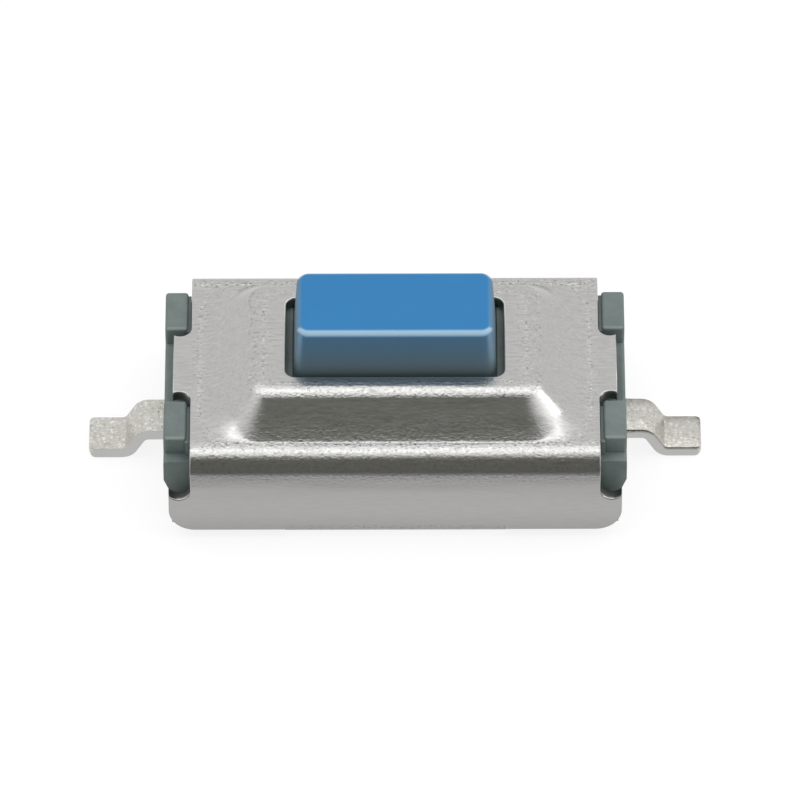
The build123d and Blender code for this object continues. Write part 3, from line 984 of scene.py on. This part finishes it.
arms = []
for side in (-1, 1):
    along = sorted((side * arm_low, side * arm_high))
    arms.append(prism("arm", rectangle(arm_start, bar_high - lap, *along), "Z", strip_low, strip_high))
bar = prism("bar", rectangle(bar_low, bar_high, -arm_high, arm_high), "Z", strip_low, strip_high)
rim_contacts = set_out_in_quarters(
    "rim_contacts", rim_contact, rim_contact_spacing, contact_top - rim_contact.z, silver
)
soften(rim_contacts, contact_edge, segments=3)
contacts = placed("contacts", baked(rim_contacts, "contacts"))
fork = joined(lead("fork_strip", bar_low + lap, 1), [bar, *arms, wing(1), contacts], "UNION")
soften(fork, strip_edge)
fork_mesh = baked(fork, "fork_strip")
smooth_piece("fork_strip", fork_mesh, silver, "housing", "terminal_strip", "fork_terminal")

# ---------------------------------------------------------------------------------------------
# Snap dome: a thin cap of silver-clad spring steel with two straight sides. It lies on the four
# rim contacts and turns flat when the key is pressed.
# ---------------------------------------------------------------------------------------------

dome_low, dome_high = (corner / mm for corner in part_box("snap_dome"))
dome_sheet = 0.05
dome_radius = dome_high.x
dome_height = dome_high.z - dome_low.z
dome_side = dome_high.y
rim_points = 144
ring_shares = (1.0, 0.985, 0.9, 0.8, 0.7, 0.6, 0.5, 0.4, 0.3, 0.2, 0.1)


def dome_mesh():
    """Rings from the rim to the apex on two concentric spheres."""
    sphere = (dome_radius**2 + dome_height**2) / (2 * dome_height)
    top = dome_high.z
    rim = []
    for i in range(rim_points):
        a = 2 * pi * i / rim_points
        rim.append((dome_radius * cos(a), max(-dome_side, min(dome_side, dome_radius * sin(a)))))
    points, faces = [], []
    count = len(rim)
    for radius, sign in ((sphere, 1), (sphere - dome_sheet, -1)):
        start = len(points)
        centre_z = top - sphere
        for share in ring_shares:
            for x, y in rim:
                px, py = x * share, y * share
                height = centre_z + sqrt(radius**2 - min(radius**2, px**2 + py**2))
                points.append(Vector((px, py, max(dome_low.z, height))) * mm)
        points.append(Vector((0, 0, centre_z + radius)) * mm)
        tip = len(points) - 1
        for k in range(len(ring_shares) - 1):
            for i in range(count):
                a, b = start + k * count + i, start + k * count + (i + 1) % count
                quad = [a, b, b + count, a + count]
                faces.append(quad if sign > 0 else quad[::-1])
        last = start + (len(ring_shares) - 1) * count
        for i in range(count):
            tri = [last + i, last + (i + 1) % count, tip]
            faces.append(tri if sign > 0 else tri[::-1])
    second = len(points) // 2
    for i in range(count):
        j = (i + 1) % count
        faces.append([j, i, second + i, second + j])
    mesh = bpy.data.meshes.new("dome")
    mesh.from_pydata(points, [], faces)
    return mesh


# Silver-clad stainless spring strip: smooth, bright, faintly brushed along its length.
spring, tree = new_material("silver_clad_spring_steel")
brush_length, brush_width = 0.6 * mm, 0.02 * mm
object_place = add(tree, "TexCoord").outputs["Object"]
brushed = add(
    tree,
    "Mapping",
    {0: object_place, "Scale": (1 / brush_length, 1 / brush_width, 1 / brush_width)},
)
brush_lines = add(tree, "TexNoise", {"Vector": brushed, "Scale": 1.0, "Detail": 2.0})
fine = add(tree, "Bump", {"Strength": 0.4, "Distance": 0.001 * mm, "Height": brush_lines})
spring_shader = add(
    tree,
    "BsdfPrincipled",
    {"Base Color": paint("#e0ded8"), "Metallic": 1.0, "Roughness": 0.2, "Normal": fine},
)
add(tree, "OutputMaterial", {0: spring_shader})
dome = smooth_piece("dome", dome_mesh(), spring, "housing", "dome_strip", "snap_dome")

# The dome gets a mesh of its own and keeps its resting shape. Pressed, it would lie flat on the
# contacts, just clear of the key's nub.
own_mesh(dome)

# ---------------------------------------------------------------------------------------------
# Key: one blue moulding. Its tapered button stands through the window, a flange under the window's
# long edges keeps it in, and a round nub rests just above the dome.
# ---------------------------------------------------------------------------------------------

key_low, key_high = (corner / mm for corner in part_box("button"))
key_half = Vector((1.265, 0.585))
draft = radians(4)
key_round = 0.09
key_corner, button_corner = 0.12, 0.15
flange_half = Vector((key_high.x, key_high.y))
flange_top, flange_thick = 1.70, 0.50
flange_edge, lower_edge = 0.06, 0.02
nub_radius = 0.45


def lofted(name, loops):
    """A closed mesh through loops of equal count, each a list of points, with flat caps."""
    points = [Vector(p) * mm for loop in loops for p in loop]
    count = len(loops[0])
    last = len(points) - count
    faces = []
    for start in range(0, last, count):
        for i in range(count):
            a, b = start + i, start + (i + 1) % count
            faces.append([a, b, b + count, a + count])
    faces += [list(reversed(range(count))), list(range(last, len(points)))]
    mesh = bpy.data.meshes.new(name)
    mesh.from_pydata(points, [], faces)
    return mesh


def key_loops():
    """Loops of the key from the nub's face up to the top."""
    bottom, top = flange_top - flange_thick, key_high.z
    fx, fy = flange_half
    hold = 0.008

    def level(half_x, half_y, radius, z):
        return [(x, y, z) for x, y in rounded(half_x, half_y, radius)]

    def nub(radius, z):
        return level(radius, radius, radius * 0.999, z)

    loops = [nub(nub_radius - flange_edge - inwards, key_low.z) for inwards in (lower_edge, 0)]
    for z in (key_low.z + flange_edge, bottom - lower_edge, bottom):
        loops.append(nub(nub_radius, z))
    back = lower_edge + hold
    loops.append(level(fx - back, fy - back, key_corner - lower_edge, bottom))
    for a in range(0, 91, 30):
        back = lower_edge * (1 - sin(radians(a)))
        height = bottom + lower_edge * (1 - cos(radians(a)))
        loops.append(level(fx - back, fy - back, key_corner - back, height))
    loops.append(level(fx, fy, key_corner, bottom + lower_edge + hold))
    loops.append(level(fx, fy, key_corner, flange_top - flange_edge))
    loops.append(level(fx, fy - flange_edge, key_corner, flange_top))
    for z in (flange_top, flange_top + hold):
        out = (top - z) * tan(draft)
        loops.append(level(key_half.x + out, key_half.y + out, button_corner + out / 2, z))
    setback = key_round * tan((pi / 2 - draft) / 2)
    lean = -setback + key_round * cos(draft) + hold * tan(draft)
    height = top - key_round + key_round * sin(draft) - hold
    loops.append(level(key_half.x + lean, key_half.y + lean, button_corner, height))
    for i in range(9):
        a = draft + (pi / 2 - draft) * i / 8
        out = -setback + key_round * cos(a)
        height = top - key_round * (1 - sin(a))
        loops.append(level(key_half.x + out, key_half.y + out, button_corner + out, height))
    out = -setback - hold
    loops.append(level(key_half.x + out, key_half.y + out, button_corner + out, top))
    return loops


# Blue polyamide off a fine spark-eroded mould: its top is saturated and satin; painted shade and
# reflection grey and darken its drafted flanks towards the window, and a painted highlight runs pale
# along its upper edge.
blue, tree = new_material("blue_polyamide")
spark_size, cloud_size = 0.03 * mm, 0.8 * mm
surroundings = add(tree, "TexCoord")
eroded, clouds = (
    add(
        tree,
        "TexNoise",
        {"Vector": surroundings.outputs["Object"], "Scale": 1 / size, "Detail": detail},
    )
    for size, detail in ((spark_size, 3.0), (cloud_size, 2.0))
)
key_place = add(tree, "SeparateXYZ", {0: surroundings.outputs["Object"]})
height = add(
    tree,
    "MapRange",
    {"Value": key_place.outputs["Z"], "From Min": flange_top * mm, "From Max": key_high.z * mm},
)
# Painted shade and reflection: the flanks turn greyer and darker from the top edge down towards the
# window.
flank_shade_stops = [(0.0, "#59696d"), (0.2, "#63757a"), (0.45, "#567285"), (0.88, "#477596"), (0.985, "#4a86b0")]
painted_flank_shade = add(
    tree,
    "ValToRGB",
    {0: height},
    stops=[(position, paint(code)) for position, code in flank_shade_stops],
)
facing = add(tree, "SeparateXYZ", {0: surroundings.outputs["Normal"]})
diagonal = add(tree, "Math", {0: facing.outputs["X"], 1: facing.outputs["Y"]}, operation="MULTIPLY")
turned = add(tree, "Math", {0: diagonal}, operation="ABSOLUTE")
lengthways = add(tree, "Math", {0: facing.outputs["Y"]}, operation="ABSOLUTE")
corners, long_edges, upper, top_share = (
    add(tree, "MapRange", {0: measure, "From Min": start, "From Max": end, "To Max": most})
    for measure, start, end, most in (
        (turned, 0.36, 0.5, 0.45),
        (lengthways, 0.05, 0.3, 1.0),
        (height, 0.9, 0.95, 1.0),
        (height, 0.985, 0.9985, 1.0),
    )
)
corner_lines, upper_edges = (
    add(tree, "Math", {0: one, 1: other}, operation="MULTIPLY")
    for one, other in ((corners, height), (long_edges, upper))
)
# Painted highlight: a pale line along the key's upper long edges and its vertical corners.
painted_edge_highlight = add(tree, "Math", {0: corner_lines, 1: upper_edges}, operation="MAXIMUM")
tint = add(
    tree,
    "Mix",
    {"Factor": clouds, "A": paint("#0e78b6"), "B": paint("#157fbe")},
    data_type="RGBA",
)
colour = painted_flank_shade
for share, shade in ((painted_edge_highlight, paint("#a8cae2")), (top_share, tint)):
    colour = add(tree, "Mix", {"Factor": share, "A": colour, "B": shade}, data_type="RGBA")
satin = add(tree, "Bump", {"Strength": 0.5, "Distance": 0.002 * mm, "Height": eroded})
blue_shader = add(
    tree,
    "BsdfPrincipled",
    {"Base Color": colour, "Roughness": 0.42, "IOR": 1.53, "Normal": satin},
)
add(tree, "OutputMaterial", {0: blue_shader})
smooth_piece("key_moulding", lofted("key", key_loops()), blue, "key", "key_moulding", "button")
